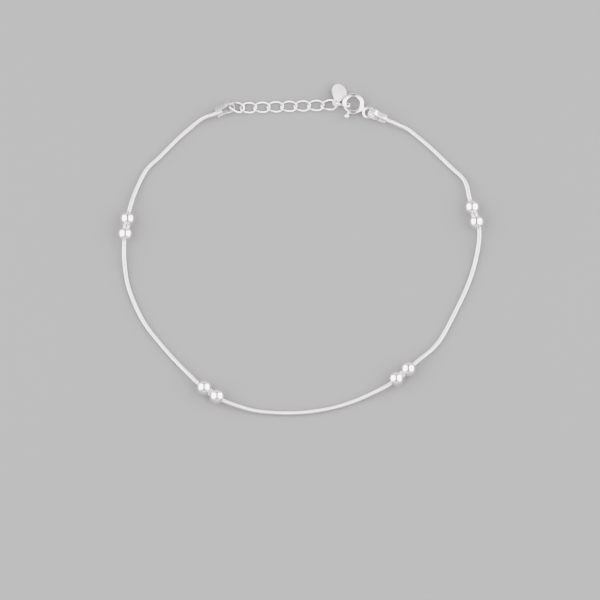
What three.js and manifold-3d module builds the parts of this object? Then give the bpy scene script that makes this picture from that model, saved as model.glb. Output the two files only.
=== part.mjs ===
// A silver anklet (payal), fastened into one loop and lying flat on a table.
// A round snake chain is threaded through four pairs of hollow beads. Each of its ends is crimped
// into a folded strip. A short curb chain and a spring ring join the two strips, and a small
// drop-shaped tag hangs on the last link.
// Lengths are in millimetres and angles in degrees. +Z is up, and the table is at z = 0.

import * as THREE from "three";
import { mergeVertices } from "three/addons/utils/BufferGeometryUtils.js";
import Module from "manifold-3d";

// Loose pieces that touch in the real anklet are drawn this far apart.
const looseGap = 0.1;

// Snake chain
const chainDiameter = 1.2;
const chainSides = 8;
const chainSteps = 78;

// The chain's line from above, from the left end strip to the right one: x and y.
// A row marked "beads" is the middle of a pair of beads.
const chainRoute = [
  [-25.2, 33.1],
  [-30.3, 28.9],
  [-35.3, 23.8],
  [-38.7, 20.4],
  [-41.2, 15.4],
  [-42.95, 9.9],
  [-43.7, 5.7, "beads"],
  [-44.2, 1.8],
  [-44.1, -4.0],
  [-42.9, -10.4],
  [-39.6, -18.0],
  [-35.3, -23.9],
  [-30.3, -29.6],
  [-25.95, -34.1],
  [-22.6, -36.6, "beads"],
  [-19.2, -38.8],
  [-12.8, -40.9],
  [-5.2, -41.7],
  [2.3, -41.4],
  [9.8, -39.9],
  [17.3, -37.1],
  [22.1, -34.6],
  [25.3, -32.0, "beads"],
  [28.45, -29.3],
  [34.2, -23.9],
  [38.8, -15.5],
  [42.2, -7.8],
  [44.1, -0.8],
  [44.6, 4.7],
  [43.4, 8.7, "beads"],
  [42.25, 12.6],
  [40.9, 17.6],
  [37.2, 21.4],
  [32.3, 26.2],
  [27.3, 30.4],
  [24.6, 31.7],
];

// How the chain comes down to the table from a pair of beads or an end strip
const beadLevel = 5.5;
const beadRamp = 8.0;
const endLevel = 2.5;
const endRamp = 7.0;

// Beads, hollow balls with a hole at each side
const beadDiameter = 3.9;
const beadHole = 2.3;
const beadWall = 0.3;
const beadSides = 16;
const beadChainGap = 0.15;

// Spacer rings of bent wire, two in each pair of beads
const spacerDiameter = 2.5;
const spacerWire = 0.24;

// End strips, folded round into an eye and crimped on the chain
const stripThickness = 0.36;
const stripWidth = 1.4;
const stripLength = 4.9;
const stripEye = 2.9;
const stripEyeTurn = 130;
const stripGrip = 1.55;
const stripLead = 0.5;

// Curb links, oval and twisted
const linkLength = 4.48;
const linkWidth = 3.0;
const linkWire = 0.5;
const linkTwist = 0.4;
const linkPitch = linkLength - 2 * linkWire - looseGap;
const flatLinks = 6;

// Tag
const tagLength = 4.45;
const tagWidth = 4.1;
const tagThickness = 0.4;
const tagNeck = 1.3;
const tagEye = 1.9;
const tagEyeHole = 1.1;

// Spring ring and its soldered eye
const claspDiameter = 5.6;
const claspTube = 1.15;
const claspBore = 0.78;
const claspEye = 3.3;
const claspEyeWire = 0.7;
const claspEyeAngle = -30.5;
const solderLength = 0.05;
const solderDiameter = 1.0;
const jawStart = 197;
const jawEnd = 239;

// Bolt and thumb knob
const boltDiameter = 0.5;
const boltTip = 191;
const boltTail = 285;
const knobAngle = 243.5;
const boltTravel = 48;
const knobReach = 3.6;
const knobDiameter = 1.3;
const stemDiameter = 0.44;
const boltGap = 0.1;

const chainRadius = chainDiameter / 2;
const beadRadius = beadDiameter / 2;
const claspRadius = (claspDiameter - claspTube) / 2;
// How far the last link reaches into the spring ring, and the tag's eye past the link's end
const linkInClasp = 2.21;
const tagOnLink = 0.74;
const claspEyeAway = (claspDiameter + claspEye) / 2 + solderLength;
const rad = THREE.MathUtils.degToRad;

// A point a step away from another piece's middle, at its own height
const step = (from, x, y, z) => [from.at[0] + x, from.at[1] + y, z];

// The turn that leans the tag's round end against the spring ring
function leaningTurn(from, ring) {
  const endAway = (tagEye / 2 + tagLength - tagWidth / 2) * Math.cos(rad(from.rise));
  const [x, y] = [ring.at[0] - from.at[0], ring.at[1] - from.at[1]];
  const ringAway = Math.hypot(x, y);
  const apart = (tagWidth + claspDiameter + looseGap) / 2;
  const lean = Math.acos((ringAway ** 2 + endAway ** 2 - apart ** 2) / (2 * ringAway * endAway));
  return THREE.MathUtils.radToDeg(Math.atan2(y, x) + lean);
}

// How the small pieces lie: the middle, then the turn about Z, the rise of the +X side and the
// roll about their own length. The pieces on each side of the flat links follow one another.
const flatTurn = 2;
const flatRow = { at: [-4.755, 36.645] };
const alongRow = (from, away) => step(from, away * Math.cos(rad(flatTurn)), away * Math.sin(rad(flatTurn)));
const firstFlat = { at: alongRow(flatRow, ((1 - flatLinks) * linkPitch) / 2) };
const lastFlat = { at: alongRow(flatRow, ((flatLinks - 1) * linkPitch) / 2) };
const leftLink = { at: step(firstFlat, -0.886 * linkPitch, 0.093, 1.05), turn: -10.8, rise: -14.7, roll: -12.9 };
const leftStrip = { at: step(leftLink, 0.335 - linkLength / 2, -0.143), turn: 26, roll: 48 };
const seventhLink = { at: step(lastFlat, 0.98 * linkPitch, 0.08, 0.98), turn: -0.3, rise: 9.7, roll: -5.4 };
const lastLink = { at: step(seventhLink, 0.9615 * linkPitch, 0, 1.48), turn: -1.6, rise: 2.2, roll: -72.6 };
const clasp = { at: step(lastLink, (linkLength + claspDiameter) / 2 - linkInClasp, 0.23, 1.44) };
const tag = { at: step(lastLink, tagOnLink - linkLength / 2, 0.18, 2.23), turn: 0, rise: -16.5, roll: 24.3 };
tag.turn = leaningTurn(tag, clasp);
const claspEyeMiddle = {
  at: step(clasp, claspEyeAway * Math.cos(rad(claspEyeAngle)), claspEyeAway * Math.sin(rad(claspEyeAngle))),
};
const rightStrip = { at: step(claspEyeMiddle, 1.233, -0.456), turn: 156.2, roll: -72.4 };

const wasm = await Module();
wasm.setup();

const polished = new THREE.MeshStandardMaterial({ color: 0xf0eef0, roughness: 0.08, metalness: 1 });
const chainSilver = new THREE.MeshStandardMaterial({ color: 0xe6e2e4, roughness: 0.22, metalness: 1 });
const satin = new THREE.MeshStandardMaterial({ color: 0xe2dcde, roughness: 0.38, metalness: 1 });

// A closed geometry as a solid, and back
function toSolid(geometry) {
  const bare = geometry.clone();
  bare.deleteAttribute("normal");
  bare.deleteAttribute("uv");
  const merged = mergeVertices(bare, 1e-4);
  return new wasm.Manifold(
    new wasm.Mesh({
      numProp: 3,
      vertProperties: merged.attributes.position.array,
      triVerts: new Uint32Array(merged.index.array),
    }),
  );
}

function toGeometry(solid) {
  const mesh = solid.getMesh();
  const geometry = new THREE.BufferGeometry();
  geometry.setAttribute("position", new THREE.BufferAttribute(mesh.vertProperties, 3));
  geometry.setIndex(new THREE.BufferAttribute(mesh.triVerts, 1));
  return geometry.toNonIndexed();
}

function named(name, geometry, material) {
  const mesh = new THREE.Mesh(geometry, material);
  mesh.name = name;
  return mesh;
}

// Turns about a piece's own length, then up at its +X side, then about Z
function place(object, pose, height) {
  object.position.set(pose.at[0], pose.at[1], height ?? pose.at[2]);
  object.rotation.set(rad(pose.roll ?? 0), -rad(pose.rise ?? 0), rad(pose.turn ?? 0), "ZYX");
  return object;
}

// Half the height of an end strip, which depends on how far it is rolled over
function stripHeight(roll) {
  return (stripEye / 2) * Math.abs(Math.sin(rad(roll))) + (stripWidth / 2) * Math.abs(Math.cos(rad(roll)));
}

// A point on an end strip's own line, behind the middle of its eye
function behindEye(pose, distance) {
  const turn = rad(pose.turn);
  return [pose.at[0] - distance * Math.cos(turn), pose.at[1] - distance * Math.sin(turn)];
}

// A smooth step down from 1 to 0, which starts at the distance level and lasts for ramp
function comingDown(distance, level, ramp) {
  const share = THREE.MathUtils.clamp((distance - level) / ramp, 0, 1);
  return 0.5 + 0.5 * Math.cos(Math.PI * share);
}

// The chain's line: the route from above, raised through the beads and at the two ends
class ChainLine extends THREE.Curve {
  constructor() {
    super();
    const legEnd = stripLength - stripEye / 2;
    const leftEnd = [behindEye(leftStrip, legEnd - stripGrip), behindEye(leftStrip, legEnd + stripLead)];
    const rightEnd = [behindEye(rightStrip, legEnd + stripLead), behindEye(rightStrip, legEnd - stripGrip)];
    this.rows = [...leftEnd, ...chainRoute, ...rightEnd];
    this.plan = new THREE.CatmullRomCurve3(
      this.rows.map(([x, y]) => new THREE.Vector3(x, y, 0)),
      false,
      "catmullrom",
      0.5,
    );
    const inBeads = beadRadius - beadHole / 2 + beadChainGap + chainRadius;
    this.lifts = chainRoute
      .filter((row) => row[2] === "beads")
      .map(([x, y]) => ({ x, y, height: inBeads, level: beadLevel, ramp: beadRamp }));
    [leftStrip, rightStrip].forEach((pose, i) => {
      const [x, y] = i === 0 ? leftEnd[0] : rightEnd[1];
      this.lifts.push({ x, y, height: stripHeight(pose.roll), level: endLevel, ramp: endRamp });
    });
  }

  getPoint(t, target = new THREE.Vector3()) {
    this.plan.getPoint(t, target);
    target.z = chainRadius;
    for (const lift of this.lifts) {
      const away = Math.hypot(target.x - lift.x, target.y - lift.y);
      const rise = (lift.height - chainRadius) * comingDown(away, lift.level, lift.ramp);
      target.z = Math.max(target.z, chainRadius + rise);
    }
    return target;
  }
}

// A round section drawn along an open line
function alongLine(line, diameter, sides, steps) {
  const section = new THREE.Shape();
  for (let i = 0; i < sides; i += 1) {
    const angle = (2 * Math.PI * (i + 0.5)) / sides;
    const point = [(diameter / 2) * Math.cos(angle), (diameter / 2) * Math.sin(angle)];
    if (i === 0) section.moveTo(...point);
    else section.lineTo(...point);
  }
  section.closePath();
  return new THREE.ExtrudeGeometry(section, { steps, extrudePath: line });
}

// A hollow ball, its holes on the Y axis
function beadGeometry() {
  const hole = beadHole / 2;
  const inside = beadRadius - beadWall;
  const outerTurn = Math.acos(hole / beadRadius);
  const innerTurn = Math.acos(hole / inside);
  const outerSteps = 8;
  const innerSteps = 4;
  const profile = [];
  for (let i = 0; i <= outerSteps; i += 1) {
    const angle = outerTurn * ((2 * i) / outerSteps - 1);
    profile.push(new THREE.Vector2(beadRadius * Math.cos(angle), beadRadius * Math.sin(angle)));
  }
  for (let i = 0; i <= innerSteps; i += 1) {
    const angle = innerTurn * (1 - (2 * i) / innerSteps);
    profile.push(new THREE.Vector2(inside * Math.cos(angle), inside * Math.sin(angle)));
  }
  profile.push(profile[0].clone());
  return new THREE.LatheGeometry(profile, beadSides);
}

// Threads a piece: its hole turns along the chain, and it moves that way from the pair's middle
function thread(object, holeAxis, middle, along, distance) {
  object.position.copy(middle).addScaledVector(along, distance);
  object.quaternion.setFromUnitVectors(holeAxis, along);
}

// The pairs of beads, each with its two spacer rings standing between them
function beadPairs(line) {
  const pieces = [];
  const halfBead = Math.sqrt(beadRadius ** 2 - (beadHole / 2) ** 2);
  const spacerAway = (looseGap + spacerWire) / 2;
  const beadAway = spacerAway + spacerWire / 2 + looseGap + halfBead;
  const wire = spacerWire / 2;
  line.rows.forEach(([x, y, mark], row) => {
    if (mark !== "beads") return;
    const along = line.plan.getTangent(row / (line.rows.length - 1));
    const beadMiddle = new THREE.Vector3(x, y, beadRadius);
    const spacerMiddle = new THREE.Vector3(x, y, spacerDiameter / 2);
    for (const side of [-1, 1]) {
      const number = pieces.length / 2 + 1;
      const bead = named("bead_" + number, beadGeometry(), polished);
      thread(bead, new THREE.Vector3(0, 1, 0), beadMiddle, along, side * beadAway);
      const ring = new THREE.TorusGeometry(spacerDiameter / 2 - wire, wire, 6, 16);
      const spacer = named("spacer_ring_" + number, ring, polished);
      thread(spacer, new THREE.Vector3(0, 0, 1), spacerMiddle, along, side * spacerAway);
      pieces.push(bead, spacer);
    }
  });
  return pieces;
}

// The folded strip, its eye round the origin and its two legs towards -X
function stripGeometry() {
  const outer = stripEye / 2;
  const inner = outer - stripThickness;
  const gripInside = chainRadius + looseGap;
  const gripOutside = gripInside + stripThickness;
  const legEnd = outer - stripLength;
  const knee = legEnd + stripGrip;
  const turn = rad(stripEyeTurn);
  const band = new THREE.Shape();
  band.moveTo(legEnd, -gripOutside);
  band.lineTo(knee, -gripOutside);
  band.lineTo(outer * Math.cos(turn), -outer * Math.sin(turn));
  band.absarc(0, 0, outer, -turn, turn, false);
  band.lineTo(knee, gripOutside);
  band.lineTo(legEnd, gripOutside);
  band.lineTo(legEnd, gripInside);
  band.lineTo(knee, gripInside);
  band.lineTo(inner * Math.cos(turn), inner * Math.sin(turn));
  band.absarc(0, 0, inner, turn, -turn, true);
  band.lineTo(knee, -gripInside);
  band.lineTo(legEnd, -gripInside);
  band.closePath();
  const geometry = new THREE.ExtrudeGeometry(band, {
    depth: stripWidth,
    bevelEnabled: false,
    curveSegments: 16,
  });
  return geometry.translate(0, 0, -stripWidth / 2);
}

function endCap(name, pose) {
  return place(named(name, stripGeometry(), polished), pose, stripHeight(pose.roll));
}

// The middle line of a curb link, an oval whose two ends are twisted opposite ways
class LinkLine extends THREE.Curve {
  getPoint(t, target = new THREE.Vector3()) {
    const angle = 2 * Math.PI * t;
    return target.set(
      ((linkLength - linkWire) / 2) * Math.cos(angle),
      ((linkWidth - linkWire) / 2) * Math.sin(angle),
      linkTwist * Math.sin(2 * angle),
    );
  }
}

function link(number) {
  // A closed line, so the tube has no ends
  const geometry = new THREE.TubeGeometry(new LinkLine(), 22, linkWire / 2, 6, true);
  return named("link_" + number, geometry, polished);
}

function curbChain() {
  const pieces = [place(link(0), leftLink)];
  for (let i = 0; i < flatLinks; i += 1) {
    const at = alongRow(firstFlat, i * linkPitch);
    pieces.push(place(link(i + 1), { at, turn: flatTurn }, linkTwist + linkWire / 2));
  }
  pieces.push(place(link(flatLinks + 1), seventhLink), place(link(flatLinks + 2), lastLink));
  return pieces;
}

// The flat drop with its eye round the origin, its point of balance towards +X
function tagGeometry() {
  const eye = tagEye / 2;
  const half = tagWidth / 2;
  const neck = tagNeck / 2;
  const leave = Math.asin(neck / eye);
  const neckX = eye * Math.cos(leave);
  const belly = eye + tagLength - half;
  // Each side leaves the neck straight and bends into the round end at the belly.
  const bellyPull = belly - 0.35 * half;
  const neckPull = neckX + 0.35 * (bellyPull - neckX);
  const neckSpread = neck + 0.35 * (half - neck);
  const face = new THREE.Shape();
  face.moveTo(neckX, -neck);
  face.bezierCurveTo(neckPull, -neckSpread, bellyPull, -half, belly, -half);
  face.absarc(belly, 0, half, -Math.PI / 2, Math.PI / 2, false);
  face.bezierCurveTo(bellyPull, half, neckPull, neckSpread, neckX, neck);
  face.absarc(0, 0, eye, leave, 2 * Math.PI - leave, false);
  const hole = new THREE.Path();
  hole.absarc(0, 0, tagEyeHole / 2, 0, 2 * Math.PI, true);
  face.holes.push(hole);
  const geometry = new THREE.ExtrudeGeometry(face, {
    depth: tagThickness,
    bevelEnabled: false,
    curveSegments: 12,
  });
  return geometry.translate(0, 0, -tagThickness / 2);
}

// An arc of round wire about the origin in the XY plane, from one angle to another
class ArcLine extends THREE.Curve {
  constructor(radius, from, to) {
    super();
    Object.assign(this, { radius, from, to });
  }

  getPoint(t, target = new THREE.Vector3()) {
    const angle = rad(this.from + (this.to - this.from) * t);
    return target.set(this.radius * Math.cos(angle), this.radius * Math.sin(angle), 0);
  }
}

// A box that starts at the ring's middle and reaches out between two angles, as a wedge
function wedge(from, to, inner, outer, height) {
  const shape = new THREE.Shape();
  const steps = 12;
  for (let i = 0; i <= steps; i += 1) {
    const angle = rad(from + ((to - from) * i) / steps);
    const point = [outer * Math.cos(angle), outer * Math.sin(angle)];
    if (i === 0) shape.moveTo(...point);
    else shape.lineTo(...point);
  }
  for (let i = steps; i >= 0; i -= 1) {
    const angle = rad(from + ((to - from) * i) / steps);
    shape.lineTo(inner * Math.cos(angle), inner * Math.sin(angle));
  }
  shape.closePath();
  const geometry = new THREE.ExtrudeGeometry(shape, { depth: height, bevelEnabled: false });
  return toSolid(geometry.translate(0, 0, -height / 2));
}

// The hollow ring with its jaw, the slot for the knob's stem in its outer wall, and its eye
function claspBody() {
  const tube = toSolid(new THREE.TorusGeometry(claspRadius, claspTube / 2, 12, 40));
  const eyeWire = claspEyeWire / 2;
  const eyeRadius = claspEye / 2 - eyeWire;
  const neckLength = solderLength + claspTube / 2 + eyeWire;
  const neck = new THREE.CylinderGeometry(solderDiameter / 2, solderDiameter / 2, neckLength, 10);
  neck.rotateZ(-Math.PI / 2).translate(claspRadius + claspTube / 4 + neckLength / 2, 0, 0);
  neck.rotateZ(rad(claspEyeAngle));
  const eyeGeometry = new THREE.TorusGeometry(eyeRadius, eyeWire, 8, 20);
  eyeGeometry.translate(claspEyeAway, 0, 0).rotateZ(rad(claspEyeAngle));
  const bore = toSolid(new THREE.TorusGeometry(claspRadius, claspBore / 2, 10, 40));
  const jaw = wedge(jawStart, jawEnd, claspRadius - claspTube, claspRadius + claspTube, 2 * claspTube);
  const stemTurn = THREE.MathUtils.radToDeg((stemDiameter / 2 + boltGap) / claspRadius);
  const slotEnd = knobAngle + boltTravel + stemTurn;
  const slotHeight = stemDiameter + 2 * boltGap;
  // The slot's cutter starts inside the jaw.
  const slotStart = (jawStart + jawEnd) / 2;
  const slot = wedge(slotStart, slotEnd, claspRadius, claspRadius + claspTube, slotHeight);
  const body = tube.add(toSolid(eyeGeometry)).add(toSolid(neck)).subtract(bore).subtract(jaw).subtract(slot);
  return place(named("clasp_body", toGeometry(body), polished), clasp);
}

// The bolt, a bent wire, and its knob on a short stem
function claspBolt() {
  const wire = toSolid(alongLine(new ArcLine(claspRadius, boltTip, boltTail), boltDiameter, 8, 16));
  const stemLength = knobReach - claspRadius;
  const stem = new THREE.CylinderGeometry(stemDiameter / 2, stemDiameter / 2, stemLength, 8);
  stem.rotateZ(-Math.PI / 2).translate(claspRadius + stemLength / 2, 0, 0).rotateZ(rad(knobAngle));
  const knob = new THREE.SphereGeometry(knobDiameter / 2, 14, 10);
  knob.translate(knobReach, 0, 0).rotateZ(rad(knobAngle));
  const bolt = wire.add(toSolid(stem)).add(toSolid(knob));
  return place(named("clasp_bolt", toGeometry(bolt), polished), clasp);
}

const anklet = new THREE.Group();
const line = new ChainLine();
anklet.add(named("snake_chain", alongLine(line, chainDiameter, chainSides, chainSteps), chainSilver));
anklet.add(...beadPairs(line));
anklet.add(endCap("end_cap_left", leftStrip), endCap("end_cap_right", rightStrip));
anklet.add(...curbChain());
anklet.add(place(named("tag", tagGeometry(), satin), tag));
anklet.add(claspBody(), claspBolt());

// The origin is on the table, under the middle of the anklet's box.
const box = new THREE.Box3().setFromObject(anklet, true);
anklet.position.set(-(box.min.x + box.max.x) / 2, -(box.min.y + box.max.y) / 2, -box.min.z);

export default anklet;
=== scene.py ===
import math

import bmesh
import bpy
from mathutils import Euler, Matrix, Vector


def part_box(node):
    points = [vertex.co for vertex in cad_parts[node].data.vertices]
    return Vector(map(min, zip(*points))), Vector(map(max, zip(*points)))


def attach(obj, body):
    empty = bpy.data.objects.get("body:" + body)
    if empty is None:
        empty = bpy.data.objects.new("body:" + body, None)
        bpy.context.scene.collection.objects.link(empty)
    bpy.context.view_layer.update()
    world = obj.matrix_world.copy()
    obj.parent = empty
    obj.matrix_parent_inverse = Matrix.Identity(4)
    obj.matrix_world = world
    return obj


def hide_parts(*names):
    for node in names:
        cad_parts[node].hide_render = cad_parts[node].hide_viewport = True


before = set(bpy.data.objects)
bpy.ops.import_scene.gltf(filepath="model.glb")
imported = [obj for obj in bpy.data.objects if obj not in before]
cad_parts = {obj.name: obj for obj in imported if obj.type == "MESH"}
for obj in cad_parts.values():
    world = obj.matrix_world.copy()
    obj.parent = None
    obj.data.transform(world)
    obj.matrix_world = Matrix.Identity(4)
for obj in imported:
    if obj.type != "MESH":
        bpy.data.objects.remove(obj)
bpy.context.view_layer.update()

mm = 0.001

# The camera, first of all. It looks down from the front, 78 degrees above the table, from far
# enough away that the loop keeps its outline.
camera_away = 4.0
camera_rise = math.radians(78)
camera_aim = Vector((-0.23, -12.82, 0)) * mm
frame_width = 150 * mm
bpy.ops.object.camera_add()
camera = bpy.context.object
camera.name = "camera"
camera.data.sensor_width = 36
camera.data.lens = camera.data.sensor_width * camera_away / frame_width
camera.data.clip_end = 5 * camera_away
camera.location = camera_aim + camera_away * Vector((0, -math.cos(camera_rise), math.sin(camera_rise)))
camera.rotation_euler = Euler((math.pi / 2 - camera_rise, 0, 0))
bpy.context.scene.camera = camera


# Snake chain: round chain of sterling silver. Hundreds of short bands bent round and hooked into
# one another, each drawn back to a blunt point along the top and the bottom, so that the slanted
# seams of the two sides meet in a line of small notches.
chain_diameter = 1.2 * mm
band_pitch = 0.47 * mm
band_sides = 16
# The band's section along its length: the share of its length, and the share of the chain's radius
band_profile = [(0.0, 0.92), (0.18, 0.985), (0.5, 1.0), (0.82, 0.985), (1.0, 0.92)]
band_point = 0.2 * mm
notch_depth = 0.08 * mm
# Two places, or two directions in radians, that are closer than this count as the same.
touching = 0.01 * mm
same_turn = 0.01

# The folded strips that the chain's ends are crimped in, and how each of them lies: the middle of
# its eye in mm, and its turn and roll in degrees
strip_length = 4.9 * mm
strip_width = 1.4 * mm
strip_eye = 2.9 * mm
strip_crimp = 1.55 * mm
strip_lead = 0.5 * mm
left_strip = {"at": (-18.1, 36.3), "turn": 26, "roll": 48}
right_strip = {"at": (18.192, 34.51), "turn": 156.2, "roll": -72.4}

# The chain's middle line in mm. A row with a third entry is the middle of a pair of beads.
chain_route = [
    (-25.2, 33.1), (-30.3, 28.9), (-35.3, 23.8), (-38.7, 20.4), (-41.2, 15.4), (-42.95, 9.9),
    (-43.7, 5.7, "beads"), (-44.2, 1.8), (-44.1, -4.0), (-42.9, -10.4), (-39.6, -18.0),
    (-35.3, -23.9), (-30.3, -29.6), (-25.95, -34.1), (-22.6, -36.6, "beads"), (-19.2, -38.8),
    (-12.8, -40.9), (-5.2, -41.7), (2.3, -41.4), (9.8, -39.9), (17.3, -37.1), (22.1, -34.6),
    (25.3, -32.0, "beads"), (28.45, -29.3), (34.2, -23.9), (38.8, -15.5), (42.2, -7.8),
    (44.1, -0.8), (44.6, 4.7), (43.4, 8.7, "beads"), (42.25, 12.6), (40.9, 17.6), (37.2, 21.4),
    (32.3, 26.2), (27.3, 30.4), (24.6, 31.7),
]
route_steps = 8

# Where the chain leaves the table, in mm: how high its middle is in the beads, how far it stays
# level on each side of a pair or a strip, and over how far it comes down
bead_lift = 1.55
bead_level = 5.5
bead_ramp = 8.0
strip_level = 2.5
strip_ramp = 7.0

# The six flat curb links, in one straight row. Their pitch and places are in mm.
link_length = 4.48 * mm
link_wire = 0.5 * mm
link_gap = 0.1 * mm
link_pitch = (link_length - 2 * link_wire - link_gap) / mm
flat_links = 6
flat_row = Vector((-4.755, 36.645, 0.65))
flat_turn = math.radians(2)
along_row = Vector((math.cos(flat_turn), math.sin(flat_turn), 0))


def flat_place(number):
    """The middle of a flat link, in mm."""
    return flat_row + link_pitch * (number - (flat_links - 1) / 2) * along_row


def middle_of(node):
    low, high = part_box(node)
    return (Vector(low) + Vector(high)) / 2


# The route's own origin lies a little off the frame's: the first flat link shows by how much.
centring = middle_of("link_1") / mm - flat_place(0)
centring.z = 0


def past_legs(strip, away):
    """A point of the chain's middle line, some way past the ends of a strip's legs, in mm."""
    turn = math.radians(strip["turn"])
    back = (strip_length - strip_eye / 2 + away) / mm
    return (strip["at"][0] - back * math.cos(turn), strip["at"][1] - back * math.sin(turn))


def strip_height(strip):
    """How high a strip's middle lies when it rests rolled on the table, in mm."""
    roll = math.radians(strip["roll"])
    return (strip_eye / 2 * abs(math.sin(roll)) + strip_width / 2 * abs(math.cos(roll))) / mm


def chain_line():
    """The chain's middle line in metres, a smooth line through the route, raised in the beads."""
    left = [past_legs(left_strip, -strip_crimp), past_legs(left_strip, strip_lead)]
    right = [past_legs(right_strip, strip_lead), past_legs(right_strip, -strip_crimp)]
    rows = [Vector(row[:2]) for row in left + chain_route + right]
    radius = chain_diameter / mm / 2
    lifts = [(Vector(row[:2]), bead_lift, bead_level, bead_ramp) for row in chain_route if len(row) == 3]
    lifts.append((rows[0], strip_height(left_strip), strip_level, strip_ramp))
    lifts.append((rows[-1], strip_height(right_strip), strip_level, strip_ramp))
    rows = [2 * rows[0] - rows[1]] + rows + [2 * rows[-1] - rows[-2]]
    line = []
    for a, b, c, d in zip(rows, rows[1:], rows[2:], rows[3:]):
        last = d is rows[-1]
        for step in range(route_steps + last):
            t = step / route_steps
            spot = b + 0.5 * t * (c - a + t * (2 * a - 5 * b + 4 * c - d + t * (3 * b - a - 3 * c + d)))
            height = radius
            for middle, high, level, ramp in lifts:
                share = min(max(((spot - middle).length - level) / ramp, 0), 1)
                height = max(height, radius + (high - radius) * (0.5 + 0.5 * math.cos(math.pi * share)))
            line.append((Vector((spot.x, spot.y, height)) + centring) * mm)
    return line


def start_edit():
    bpy.ops.object.mode_set(mode="EDIT")


def end_edit():
    bpy.ops.object.mode_set(mode="OBJECT")


def select(test):
    """In edit mode, selects the vertices whose place passes a test."""
    bpy.ops.mesh.select_all(action="DESELECT")
    shape = bmesh.from_edit_mesh(bpy.context.object.data)
    for vertex in shape.verts:
        vertex.select_set(bool(test(vertex.co)))
    shape.select_flush(True)
    bmesh.update_edit_mesh(bpy.context.object.data)


def close_ends():
    """In edit mode, closes the two open ends of a tube."""
    bpy.ops.mesh.select_all(action="DESELECT")
    bpy.ops.mesh.select_mode(type="EDGE")
    bpy.ops.mesh.select_non_manifold()
    bpy.ops.mesh.edge_face_add()
    bpy.ops.mesh.select_mode(type="VERT")


def face_out():
    """In edit mode, turns all the faces outwards."""
    bpy.ops.mesh.select_all(action="SELECT")
    bpy.ops.mesh.normals_make_consistent(inside=False)


def new_piece(name):
    piece = bpy.context.object
    piece.name = name
    piece.data.name = name
    return piece


def take_up(piece):
    """Selects one piece alone and makes it the active one."""
    bpy.ops.object.select_all(action="DESELECT")
    piece.select_set(True)
    bpy.context.view_layer.objects.active = piece


def apply_all(piece):
    take_up(piece)
    for modifier in list(piece.modifiers):
        bpy.ops.object.modifier_apply(modifier=modifier.name)


def finish_piece(piece, node, body, material, sharp):
    """Shades a piece, gives it its material and body, and lets it stand for its CAD node."""
    take_up(piece)
    bpy.ops.object.transform_apply(location=True, rotation=True, scale=True)
    bpy.ops.object.shade_smooth_by_angle(angle=math.radians(sharp))
    piece.data.materials.clear()
    piece.data.materials.append(material)
    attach(piece, body)
    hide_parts(node)


def linear(code):
    """A colour written as sRGB hex, as the linear values that a shader takes."""
    parts = [int(code[i:i + 2], 16) / 255 for i in (1, 3, 5)]
    return [v / 12.92 if v <= 0.04045 else ((v + 0.055) / 1.055) ** 2.4 for v in parts] + [1]


def add(tree, kind, inputs=(), **settings):
    """Adds a node with its settings. Each input is a value or another node's output."""
    node = tree.nodes.new("ShaderNode" + kind)
    for name, value in settings.items():
        setattr(node, name, value)
    for socket, value in dict(inputs).items():
        if isinstance(value, bpy.types.NodeSocket):
            tree.links.new(value, node.inputs[socket])
        else:
            node.inputs[socket].default_value = value
    return node


def wander(tree, place, size, detail, low, high):
    """A value that wanders between two numbers, over spots of about a size. The noise seldom
    leaves the middle third of its range, so that third is spread over the whole."""
    spots = add(tree, "TexNoise", {"Vector": place, "Scale": 1 / size, "Detail": detail}).outputs["Fac"]
    return add(tree, "MapRange", {"Value": spots, "From Min": 0.35, "From Max": 0.65,
                                  "To Min": low, "To Max": high}).outputs["Result"]


dent_depth = 0.02 * mm


def bare_silver(name, tones, cloud_size, roughness, mark_size, mark_detail, dents=None):
    """Silver whose tone changes in wide clouds, and its roughness in fine marks. Where it has
    dents, they are given as their size, their detail and their strength."""
    material = bpy.data.materials.new(name)
    material.use_nodes = True
    tree = material.node_tree
    shader = tree.nodes["Principled BSDF"]
    shader.inputs["Metallic"].default_value = 1
    place = add(tree, "TexCoord").outputs["Object"]
    first, second = (linear(tone) for tone in tones)
    clouds = wander(tree, place, cloud_size, detail=3, low=0, high=1)
    tone = add(tree, "Mix", {"Factor": clouds, 6: first, 7: second}, data_type="RGBA").outputs[2]
    tree.links.new(tone, shader.inputs["Base Color"])
    tree.links.new(wander(tree, place, mark_size, mark_detail, *roughness), shader.inputs["Roughness"])
    if dents:
        size, detail, strength = dents
        height = add(tree, "TexNoise", {"Vector": place, "Scale": 1 / size, "Detail": detail}).outputs["Fac"]
        bump = add(tree, "Bump", {"Height": height, "Strength": strength, "Distance": dent_depth})
        tree.links.new(bump.outputs["Normal"], shader.inputs["Normal"])
    return material


# Sterling silver wire, rolled into bands and barrel-polished. The crests of the bands are bright, and grey
# shade is painted into the seams between them.
chain_silver = bare_silver("rolled sterling silver, barrel-polished", ("#f1edee", "#e7e1e3"), 9 * mm,
                           (0.14, 0.3), 0.25 * mm, 2)
seam_shade_tone = "#544e50"
# The painted shade starts where the radius falls to the first share of the chain's, and is full at the
# second. The seams at the sides get less of it than the notches along the top and the bottom.
seam_shade_start = 0.98
seam_shade_full = 0.925
side_seam_shade = 0.45
# The seam attribute mixes a grey painted shade into the silver's colour in the seams and notches.
tree = chain_silver.node_tree
base = tree.nodes["Principled BSDF"].inputs["Base Color"]
depth = add(tree, "Attribute", attribute_name="seam").outputs["Fac"]
tint = add(tree, "Mix", {"Factor": depth, 6: base.links[0].from_socket, 7: linear(seam_shade_tone)},
           data_type="RGBA").outputs[2]
tree.links.new(tint, base)

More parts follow.
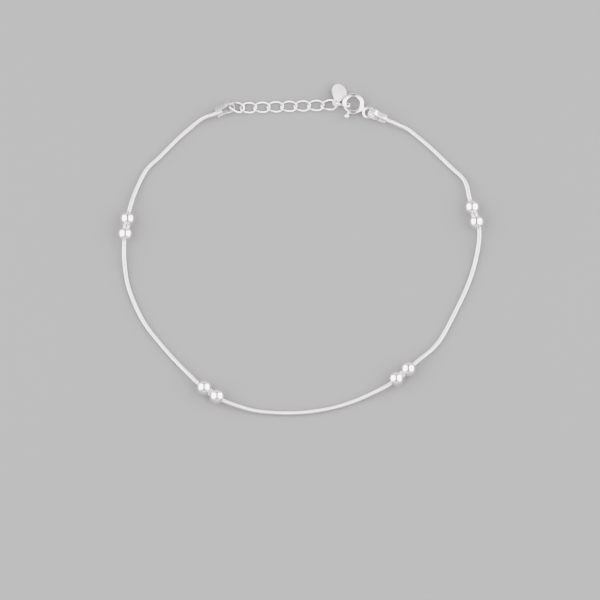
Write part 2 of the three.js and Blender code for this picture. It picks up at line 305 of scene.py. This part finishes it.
bpy.ops.object.select_all(action="DESELECT")
seam_radius = chain_diameter / 2 * band_profile[0][1]
bpy.ops.mesh.primitive_circle_add(vertices=band_sides, radius=seam_radius, rotation=(0, math.pi / 2, 0))
bpy.ops.object.transform_apply(rotation=True)
chain = new_piece("snake_chain_bands")
start_edit()
line = chain_line()
length = sum((b - a).length for a, b in zip(line, line[1:]))
bands = round(length / band_pitch)
pitch = length / bands
for (x0, r0), (x1, r1) in zip(band_profile, band_profile[1:]):
    bpy.ops.mesh.extrude_region_move(TRANSFORM_OT_translate={"value": ((x1 - x0) * pitch, 0, 0)})
    bpy.ops.transform.resize(value=(1, r1 / r0, r1 / r0), center_override=(x1 * pitch, 0, 0))
select(lambda co: abs(co.y) < touching and min(abs(co.x), abs(co.x - pitch)) < touching)
bpy.ops.transform.resize(value=(1, 1, 1 - notch_depth / seam_radius), center_override=(0, 0, 0))
quarter_sides = band_sides // 4
for step in range(quarter_sides + 1):
    slant = math.pi / 2 * step / quarter_sides
    select(lambda co: abs(math.atan2(abs(co.z), abs(co.y)) - slant) < same_turn)
    bpy.ops.transform.translate(value=(band_point * step / quarter_sides, 0, 0))
end_edit()
# How much painted shade lies at each corner of the mesh
seam = chain.data.attributes.new("seam", "FLOAT", "POINT")
for vertex, value in zip(chain.data.vertices, seam.data):
    height = math.hypot(vertex.co.y, vertex.co.z)
    sunk = (seam_shade_start - 2 * height / chain_diameter) / (seam_shade_start - seam_shade_full)
    notch = abs(vertex.co.z) / height
    value.value = min(max(sunk, 0), 1) * (side_seam_shade + (1 - side_seam_shade) * notch)
bpy.ops.curve.primitive_bezier_curve_add()
run = bpy.context.object
run.data.splines.clear()
spline = run.data.splines.new("POLY")
spline.points.add(len(line) - 1)
for point, spot in zip(spline.points, line):
    point.co = (*spot, 1)
run.data.twist_mode = "Z_UP"
repeat = chain.modifiers.new("repeat", "ARRAY")
repeat.count = bands
repeat.use_relative_offset = False
repeat.use_constant_offset = True
repeat.constant_offset_displace = (pitch, 0, 0)
repeat.use_merge_vertices = True
repeat.merge_threshold = touching
bend = chain.modifiers.new("bend", "CURVE")
bend.object = run
bend.deform_axis = "POS_X"
apply_all(chain)
bpy.data.objects.remove(run)
start_edit()
close_ends()
face_out()
end_edit()
finish_piece(chain, "snake_chain", "anklet", chain_silver, sharp=40)


# Beads: hollow balls of thin sterling sheet, drawn in two halves, soldered and polished to a mirror.
# The hole at each side is turned in with a soft edge. They slide on the chain in four pairs.
bead_diameter = 3.9 * mm
bead_hole = 2.3 * mm
bead_wall = 0.3 * mm
bead_edge = 0.06 * mm
bead_pairs = [(1, 2), (3, 4), (5, 6), (7, 8)]

# Mirror-polished sterling silver, which shows its surroundings. The polishing marks are a few
# hundredths of a millimetre apart on the real piece, and are drawn coarser, so that they show.
polished_silver = bare_silver("sterling silver, mirror-polished", ("#f7f4f4", "#efeaeb"), 6 * mm,
                              (0.06, 0.13), 0.4 * mm, 4, dents=(0.4 * mm, 4, 0.04))


def copy_of(piece, name):
    double = piece.copy()
    double.data = piece.data.copy()
    double.name = name
    double.data.name = name
    bpy.context.collection.objects.link(double)
    return double


def round_edges(piece, width):
    edge = piece.modifiers.new("edge", "BEVEL")
    edge.width = width
    edge.segments = 3
    edge.limit_method = "ANGLE"
    edge.angle_limit = math.radians(40)


def thread_on(pattern, name, node, sharp):
    """Puts a copy of a piece at each of a node's eight places, square to the chain there."""
    for first, second in bead_pairs:
        along = middle_of("bead_%d" % second) - middle_of("bead_%d" % first)
        for number in (first, second):
            piece = copy_of(pattern, "%s_%d" % (name, number))
            piece.location = middle_of("%s_%d" % (node, number))
            piece.rotation_euler = Euler((0, 0, math.atan2(along.y, along.x)))
            finish_piece(piece, "%s_%d" % (node, number), "anklet", polished_silver, sharp)
    bpy.data.objects.remove(pattern)


bpy.ops.object.select_all(action="DESELECT")
bpy.ops.mesh.primitive_uv_sphere_add(segments=56, ring_count=36, radius=bead_diameter / 2,
                                     rotation=(0, math.pi / 2, 0))
bpy.ops.object.transform_apply(rotation=True)
bead = new_piece("polished_bead")
half_bead = math.sqrt(bead_diameter ** 2 - bead_hole ** 2) / 2
start_edit()
for side in (-1, 1):
    bpy.ops.mesh.select_all(action="SELECT")
    bpy.ops.mesh.bisect(plane_co=(side * half_bead, 0, 0), plane_no=(side, 0, 0), clear_outer=True)
end_edit()
wall = bead.modifiers.new("wall", "SOLIDIFY")
wall.thickness = bead_wall
wall.offset = -1
round_edges(bead, bead_edge)
apply_all(bead)
thread_on(bead, "polished_bead", "bead", sharp=50)


# Spacer rings: rings of thin round silver wire, closed and polished. One lies against the inner
# side of each bead, and the two keep the beads of a pair apart.
spacer_diameter = 2.5 * mm
spacer_wire = 0.24 * mm

bpy.ops.object.select_all(action="DESELECT")
bpy.ops.mesh.primitive_torus_add(major_segments=48, minor_segments=12, rotation=(0, math.pi / 2, 0),
                                 major_radius=(spacer_diameter - spacer_wire) / 2,
                                 minor_radius=spacer_wire / 2)
bpy.ops.object.transform_apply(rotation=True)
thread_on(new_piece("wire_ring"), "wire_ring", "spacer_ring", sharp=80)


# End strips: a flat silver strip folded round into an eye, with its two legs crimped on the chain's
# end. The edges are tumbled smooth.
strip_thickness = 0.36 * mm
strip_eye_turn = math.radians(130)
strip_edge = 0.07 * mm
strip_chain_gap = 0.1 * mm
weld_gap = 0.002 * mm

# Rolled sterling strip, tumbled bright, in one even tone. It has a soft sheen, and what it
# reflects is blurred.
strip_tone = "#efe9ea"
tumbled_silver = bare_silver("sterling silver strip, tumbled bright", (strip_tone, strip_tone), 6 * mm,
                             (0.2, 0.32), 0.5 * mm, 3, dents=(0.5 * mm, 3, 0.06))

leg_end = strip_eye / 2 - strip_length
leg_side = chain_diameter / 2 + strip_chain_gap + strip_thickness / 2
knee = Vector((leg_end + strip_crimp, -leg_side, 0))
eye_radius = (strip_eye - strip_thickness) / 2
eye_start = Vector((eye_radius * math.cos(strip_eye_turn), -eye_radius * math.sin(strip_eye_turn), 0))
eye_slant = math.atan2(eye_start.y, eye_start.x)

bpy.ops.object.select_all(action="DESELECT")
bpy.ops.mesh.primitive_plane_add(size=1, rotation=(0, math.pi / 2, 0), location=(leg_end, -leg_side, 0))
bpy.ops.transform.resize(value=(1, strip_thickness, strip_width))
bpy.ops.object.transform_apply(location=True, rotation=True, scale=True)
strip = new_piece("folded_strip")


def lead(target, slant):
    """Draws the selected end face on to a point and turns it to stand across a new direction."""
    shape = bmesh.from_edit_mesh(bpy.context.object.data)
    picked = [v.co for v in shape.verts if v.select]
    middle = sum(picked, Vector()) / len(picked)
    bpy.ops.mesh.extrude_region_move(TRANSFORM_OT_translate={"value": target - middle})
    bpy.ops.transform.rotate(value=-slant, orient_axis="Z", center_override=target)


start_edit()
bpy.ops.mesh.select_all(action="SELECT")
lead(knee, 0)
lead(eye_start, eye_slant + math.pi / 2)
bpy.ops.mesh.spin(steps=40, angle=2 * strip_eye_turn, center=(0, 0, 0), axis=(0, 0, -1))
lead(Vector((knee.x, -knee.y, 0)), eye_slant + math.pi / 2)
lead(Vector((leg_end, leg_side, 0)), 0)
bpy.ops.mesh.select_all(action="SELECT")
bpy.ops.mesh.remove_doubles(threshold=weld_gap)
face_out()
end_edit()
round_edges(strip, strip_edge)
apply_all(strip)


def lay(piece, middle, turn=0, rise=0, roll=0):
    """Turns a piece about its length, then up at its +X side, then about Z, at a place in mm."""
    piece.location = (Vector(middle) + centring) * mm
    piece.rotation_euler = Euler((math.radians(roll), -math.radians(rise), math.radians(turn)))


for name, node, pose in (("folded_strip_left", "end_cap_left", left_strip),
                         ("folded_strip_right", "end_cap_right", right_strip)):
    cap = copy_of(strip, name)
    lay(cap, (*pose["at"], strip_height(pose)), pose["turn"], 0, pose["roll"])
    finish_piece(cap, node, "anklet", tumbled_silver, sharp=20)
bpy.data.objects.remove(strip)


# Curb links: ovals of round silver wire, each twisted so that they lie nearly flat in one another.
# The wire's two ends meet in a soldered joint, filed and polished until it no longer shows.
link_width = 3.0 * mm
link_twist = 0.4 * mm
link_points = 24

# How each link lies, from the left strip to the clasp: its middle in mm, then its turn, the rise
# of its right end and its roll in degrees
link_poses = [((-16.195, 36.443, 1.05), -10.8, -14.7, -12.9)]
link_poses += [(flat_place(number), math.degrees(flat_turn), 0, 0) for number in range(flat_links)]
link_poses += [((7.002, 37.02, 0.98), -0.3, 9.7, -5.4), ((10.252, 37.02, 1.48), -1.6, 2.2, -72.6)]

bpy.ops.object.select_all(action="DESELECT")
bpy.ops.curve.primitive_bezier_circle_add(radius=1)
wire = new_piece("curb_link")
wire.data.splines.clear()
oval = wire.data.splines.new("NURBS")
oval.points.add(link_points - 1)
for number, point in enumerate(oval.points):
    angle = 2 * math.pi * number / link_points
    x = (link_length - link_wire) / 2 * math.cos(angle)
    y = (link_width - link_wire) / 2 * math.sin(angle)
    point.co = (x, y, link_twist * math.sin(2 * angle), 1)
oval.use_cyclic_u = True
oval.order_u = 4
oval.resolution_u = 3
wire.data.bevel_depth = link_wire / 2
wire.data.bevel_resolution = 4
wire.data.twist_mode = "Z_UP"
bpy.ops.object.convert(target="MESH")
link = bpy.context.object
for number, pose in enumerate(link_poses):
    ring = copy_of(link, "curb_link_%d" % number)
    lay(ring, *pose)
    finish_piece(ring, "link_%d" % number, "anklet", polished_silver, sharp=80)
bpy.data.objects.remove(link)


# Tag: a small drop stamped from silver sheet, tumbled to a satin face, with a pierced eye.
# It hangs on the last links and lies over them.
tag_length = 4.45 * mm
tag_width = 4.1 * mm
tag_thickness = 0.4 * mm
tag_neck = 1.3 * mm
tag_eye = 1.9 * mm
tag_eye_hole = 1.1 * mm
tag_edge = 0.08 * mm
tag_pose = ((8.752, 37.2, 2.23), 75.8, -16.5, 24.3)
belly_steps = 30
side_steps = 20
eye_steps = 24
# How strongly each side keeps straight as it leaves the neck and as it joins the round end
side_pull = 0.35

# Sterling sheet, stamped and tumbled satin: an even, slightly grey face that mirrors nothing
satin_silver = bare_silver("sterling silver sheet, stamped and tumbled satin", ("#c9bfc2", "#bdb2b6"),
                           1.6 * mm, (0.46, 0.56), 1.6 * mm, 3, dents=(0.12 * mm, 3, 0.25))


def arc(middle, radius, start, end, steps):
    """Points on an arc about a point of the tag's length, both its ends included."""
    turns = [start + (end - start) * step / steps for step in range(steps + 1)]
    return [(middle + radius * math.cos(turn), radius * math.sin(turn)) for turn in turns]


# The edge is rounded outwards by its own width, so the outline is drawn that much smaller.
eye = tag_eye / 2 - tag_edge
neck = tag_neck / 2 - tag_edge
belly = tag_width / 2 - tag_edge
belly_at = tag_eye / 2 + tag_length - tag_width / 2
leave = math.asin(neck / eye)
start = Vector((eye * math.cos(leave), neck))
end = Vector((belly_at, belly))
pull_belly = Vector((belly_at - side_pull * belly, belly))
pull_neck = start.lerp(pull_belly, side_pull)
side = []
for step in range(1, side_steps):
    t = step / side_steps
    spot = (1 - t) ** 3 * start + 3 * t * (1 - t) ** 2 * pull_neck
    spot += 3 * t * t * (1 - t) * pull_belly + t ** 3 * end
    side.append((spot.x, spot.y))
outline = arc(belly_at, belly, math.pi / 2, -math.pi / 2, belly_steps)
outline += [(x, -y) for x, y in reversed(side)]
outline += arc(0, eye, -leave, leave - 2 * math.pi, eye_steps)
outline += side
hole = arc(0, tag_eye_hole / 2 + tag_edge, 0, 2 * math.pi, eye_steps)[:-1]

bpy.ops.object.select_all(action="DESELECT")
bpy.ops.curve.primitive_bezier_circle_add(radius=1)
sheet = new_piece("satin_tag")
sheet.data.dimensions = "2D"
sheet.data.fill_mode = "BOTH"
sheet.data.splines.clear()
for ring in (outline, hole):
    spline = sheet.data.splines.new("POLY")
    spline.points.add(len(ring) - 1)
    for point, (x, y) in zip(spline.points, ring):
        point.co = (x, y, 0, 1)
    spline.use_cyclic_u = True
sheet.data.extrude = tag_thickness / 2 - tag_edge
sheet.data.bevel_depth = tag_edge
sheet.data.bevel_resolution = 3
bpy.ops.object.convert(target="MESH")
tag = bpy.context.object
start_edit()
bpy.ops.mesh.select_all(action="SELECT")
bpy.ops.mesh.remove_doubles(threshold=weld_gap)
face_out()
end_edit()
lay(tag, *tag_pose)
finish_piece(tag, "tag", "anklet", satin_silver, sharp=30)


# Spring ring: a hollow ring of drawn silver tube with a jaw cut out of it, and a slot in its outer
# wall for the thumb knob. A smaller wire ring is soldered to its side as its eye.
clasp_middle = (13.082, 37.25, 1.44)
clasp_diameter = 5.6 * mm
clasp_tube = 1.15 * mm
clasp_bore = 0.78 * mm
clasp_eye = 3.3 * mm
clasp_eye_wire = 0.7 * mm
clasp_eye_turn = math.radians(-30.5)
solder_length = 0.05 * mm
solder_drop = (0.64 * mm, 1.5 * mm, 0.86 * mm)
jaw_start = math.radians(197)
jaw_end = math.radians(239)
slot_height = 0.64 * mm
slot_start = (jaw_start + jaw_end) / 2
slot_end = math.radians(299.7)
ring_radius = (clasp_diameter - clasp_tube) / 2
eye_away = (clasp_diameter + clasp_eye) / 2 + solder_length


def spin_round(start, end, steps):
    """In edit mode, turns a section to the start angle about Z and spins it on to the end angle."""
    bpy.ops.mesh.select_all(action="SELECT")
    bpy.ops.transform.rotate(value=-start, orient_axis="Z", center_override=(0, 0, 0))
    bpy.ops.mesh.spin(steps=steps, angle=end - start, center=(0, 0, 0), axis=(0, 0, -1))


def combine(piece, part, operation):
    """Cuts a part out of a piece, or joins it to the piece as one solid. The part is used up."""
    change = piece.modifiers.new("change", "BOOLEAN")
    change.operation = operation
    change.object = part
    change.solver = "EXACT"
    apply_all(piece)
    bpy.data.objects.remove(part)


def join_at(piece, part, turn):
    """Turns a part about Z and joins it to a piece."""
    part.rotation_euler = Euler((0, 0, turn))
    take_up(part)
    bpy.ops.object.transform_apply(rotation=True)
    combine(piece, part, "UNION")


bpy.ops.object.select_all(action="DESELECT")
bpy.ops.mesh.primitive_circle_add(vertices=24, radius=clasp_tube / 2, fill_type="NGON",
                                  rotation=(math.pi / 2, 0, 0), location=(ring_radius, 0, 0))
bpy.ops.object.transform_apply(location=True, rotation=True)
clasp = new_piece("spring_ring")
start_edit()
bpy.ops.mesh.select_all(action="SELECT")
bpy.ops.mesh.inset(thickness=(clasp_tube - clasp_bore) / 2)
bpy.ops.mesh.delete(type="FACE")
spin_round(jaw_end, 2 * math.pi + jaw_start, 96)
face_out()
end_edit()

bpy.ops.object.select_all(action="DESELECT")
bpy.ops.mesh.primitive_plane_add(size=1, rotation=(math.pi / 2, 0, 0),
                                 location=(ring_radius + clasp_tube / 2, 0, 0))
bpy.ops.transform.resize(value=(clasp_tube, 1, slot_height))
bpy.ops.object.transform_apply(location=True, rotation=True, scale=True)
cutter = new_piece("slot_cutter")
start_edit()
spin_round(slot_start, slot_end, 30)
face_out()
end_edit()
combine(clasp, cutter, "DIFFERENCE")

bpy.ops.object.select_all(action="DESELECT")
bpy.ops.mesh.primitive_torus_add(major_segments=64, minor_segments=16, location=(eye_away, 0, 0),
                                 major_radius=(clasp_eye - clasp_eye_wire) / 2,
                                 minor_radius=clasp_eye_wire / 2)
bpy.ops.object.transform_apply(location=True)
join_at(clasp, new_piece("spring_ring_eye"), clasp_eye_turn)
bpy.ops.object.select_all(action="DESELECT")
bpy.ops.mesh.primitive_uv_sphere_add(segments=32, ring_count=20, radius=0.5,
                                     location=((clasp_diameter + solder_length) / 2, 0, 0))
bpy.ops.transform.resize(value=solder_drop)
bpy.ops.object.transform_apply(location=True, rotation=True, scale=True)
join_at(clasp, new_piece("solder"), clasp_eye_turn)
lay(clasp, clasp_middle)
finish_piece(clasp, "clasp_body", "anklet", polished_silver, sharp=35)


# Bolt: a bent wire that a coil spring pushes across the jaw from inside the tube, with a ball-headed
# knob on a short stem for the thumb. Knob, stem and wire are soldered together and polished.
bolt_diameter = 0.5 * mm
bolt_tip = math.radians(191)
bolt_tail = math.radians(285)
knob_turn = math.radians(243.5)
knob_reach = 3.6 * mm
knob_diameter = 1.3 * mm
stem_diameter = 0.44 * mm
stem_length = knob_reach - ring_radius

bpy.ops.object.select_all(action="DESELECT")
bpy.ops.mesh.primitive_circle_add(vertices=16, radius=bolt_diameter / 2, rotation=(math.pi / 2, 0, 0),
                                  location=(ring_radius, 0, 0))
bpy.ops.object.transform_apply(location=True, rotation=True)
bolt = new_piece("spring_ring_bolt")
start_edit()
spin_round(bolt_tip, bolt_tail, 32)
close_ends()
face_out()
end_edit()
bpy.ops.object.select_all(action="DESELECT")
bpy.ops.mesh.primitive_cylinder_add(vertices=16, radius=stem_diameter / 2, depth=stem_length,
                                    rotation=(0, math.pi / 2, 0),
                                    location=(ring_radius + stem_length / 2, 0, 0))
bpy.ops.object.transform_apply(location=True, rotation=True)
join_at(bolt, new_piece("stem"), knob_turn)
bpy.ops.object.select_all(action="DESELECT")
bpy.ops.mesh.primitive_uv_sphere_add(segments=32, ring_count=20, radius=knob_diameter / 2,
                                     location=(knob_reach, 0, 0))
bpy.ops.object.transform_apply(location=True)
join_at(bolt, new_piece("knob"), knob_turn)
lay(bolt, clasp_middle)
finish_piece(bolt, "clasp_bolt", "bolt", polished_silver, sharp=35)


# Floor and light: a plain pale table top in a light tent. Its two side walls glow most, its foot
# glows all round, its roof is a dimmer white, and the small round opening in front of the camera
# shows as a dark dot on each bead.
floor_size = 12.0
floor_tone = "#696869"
floor_roughness = 0.9
tent_tone = "#f6eff1"
# The side walls, each leaning in: how far out and how high it starts and ends, in metres
wall_foot = (0.75, 0.06)
wall_top = (0.17, 0.8)
wall_depth = 1.0
wall_power = 24
opening_rise = math.radians(63)
opening_edge = math.cos(math.radians(9))
opening_middle = math.cos(math.radians(6))

bpy.ops.object.select_all(action="DESELECT")
bpy.ops.mesh.primitive_plane_add(size=floor_size)
floor = new_piece("floor")
pale = bpy.data.materials.new("matte pale board")
pale.use_nodes = True
shader = pale.node_tree.nodes["Principled BSDF"]
shader.inputs["Base Color"].default_value = linear(floor_tone)
shader.inputs["Roughness"].default_value = floor_roughness
floor.data.materials.append(pale)

for name, side in (("left wall", -1), ("right wall", 1)):
    foot, top = (Vector((side * out, 0, high)) for out, high in (wall_foot, wall_top))
    bpy.ops.object.light_add(type="AREA", location=(foot + top) / 2)
    light = bpy.context.object
    light.name = name
    light.data.shape = "RECTANGLE"
    light.data.size = wall_depth
    light.data.size_y = (top - foot).length
    light.data.energy = wall_power
    light.visible_camera = False
    # A light shines away from its own +Z, so that side is turned outwards.
    back = (top - foot).cross(Vector((0, 1, 0)))
    if back.dot(light.location) < 0:
        back = -back
    light.rotation_euler = back.to_track_quat("Z", "Y").to_euler()

world = bpy.data.worlds.new("light tent")
world.use_nodes = True
tree = world.node_tree
ray = add(tree, "TexCoord").outputs["Generated"]
height = add(tree, "SeparateXYZ", {"Vector": ray}).outputs["Z"]
toward = Vector((0, -math.cos(opening_rise), math.sin(opening_rise)))
nearness = add(tree, "VectorMath", {0: ray, 1: toward}, operation="DOT_PRODUCT").outputs["Value"]
# The foot, the roof and the opening, whose glows are multiplied. Each row says what it follows,
# where its change starts and ends, and the glow before and after that.
changes = [(height, 0.02, 0.16, 0.6, 2.0), (height, 0.5, 0.75, 1.0, 0.22),
           (nearness, opening_edge, opening_middle, 1.0, 0.04)]
glow = 1
for value, start, end, before, after in changes:
    change = add(tree, "MapRange", {"Value": value, "From Min": start, "From Max": end,
                                    "To Min": before, "To Max": after}).outputs["Result"]
    glow = add(tree, "Math", {0: glow, 1: change}, operation="MULTIPLY").outputs["Value"]
tree.nodes["Background"].inputs["Color"].default_value = linear(tent_tone)
tree.links.new(glow, tree.nodes["Background"].inputs["Strength"])
bpy.context.scene.world = world
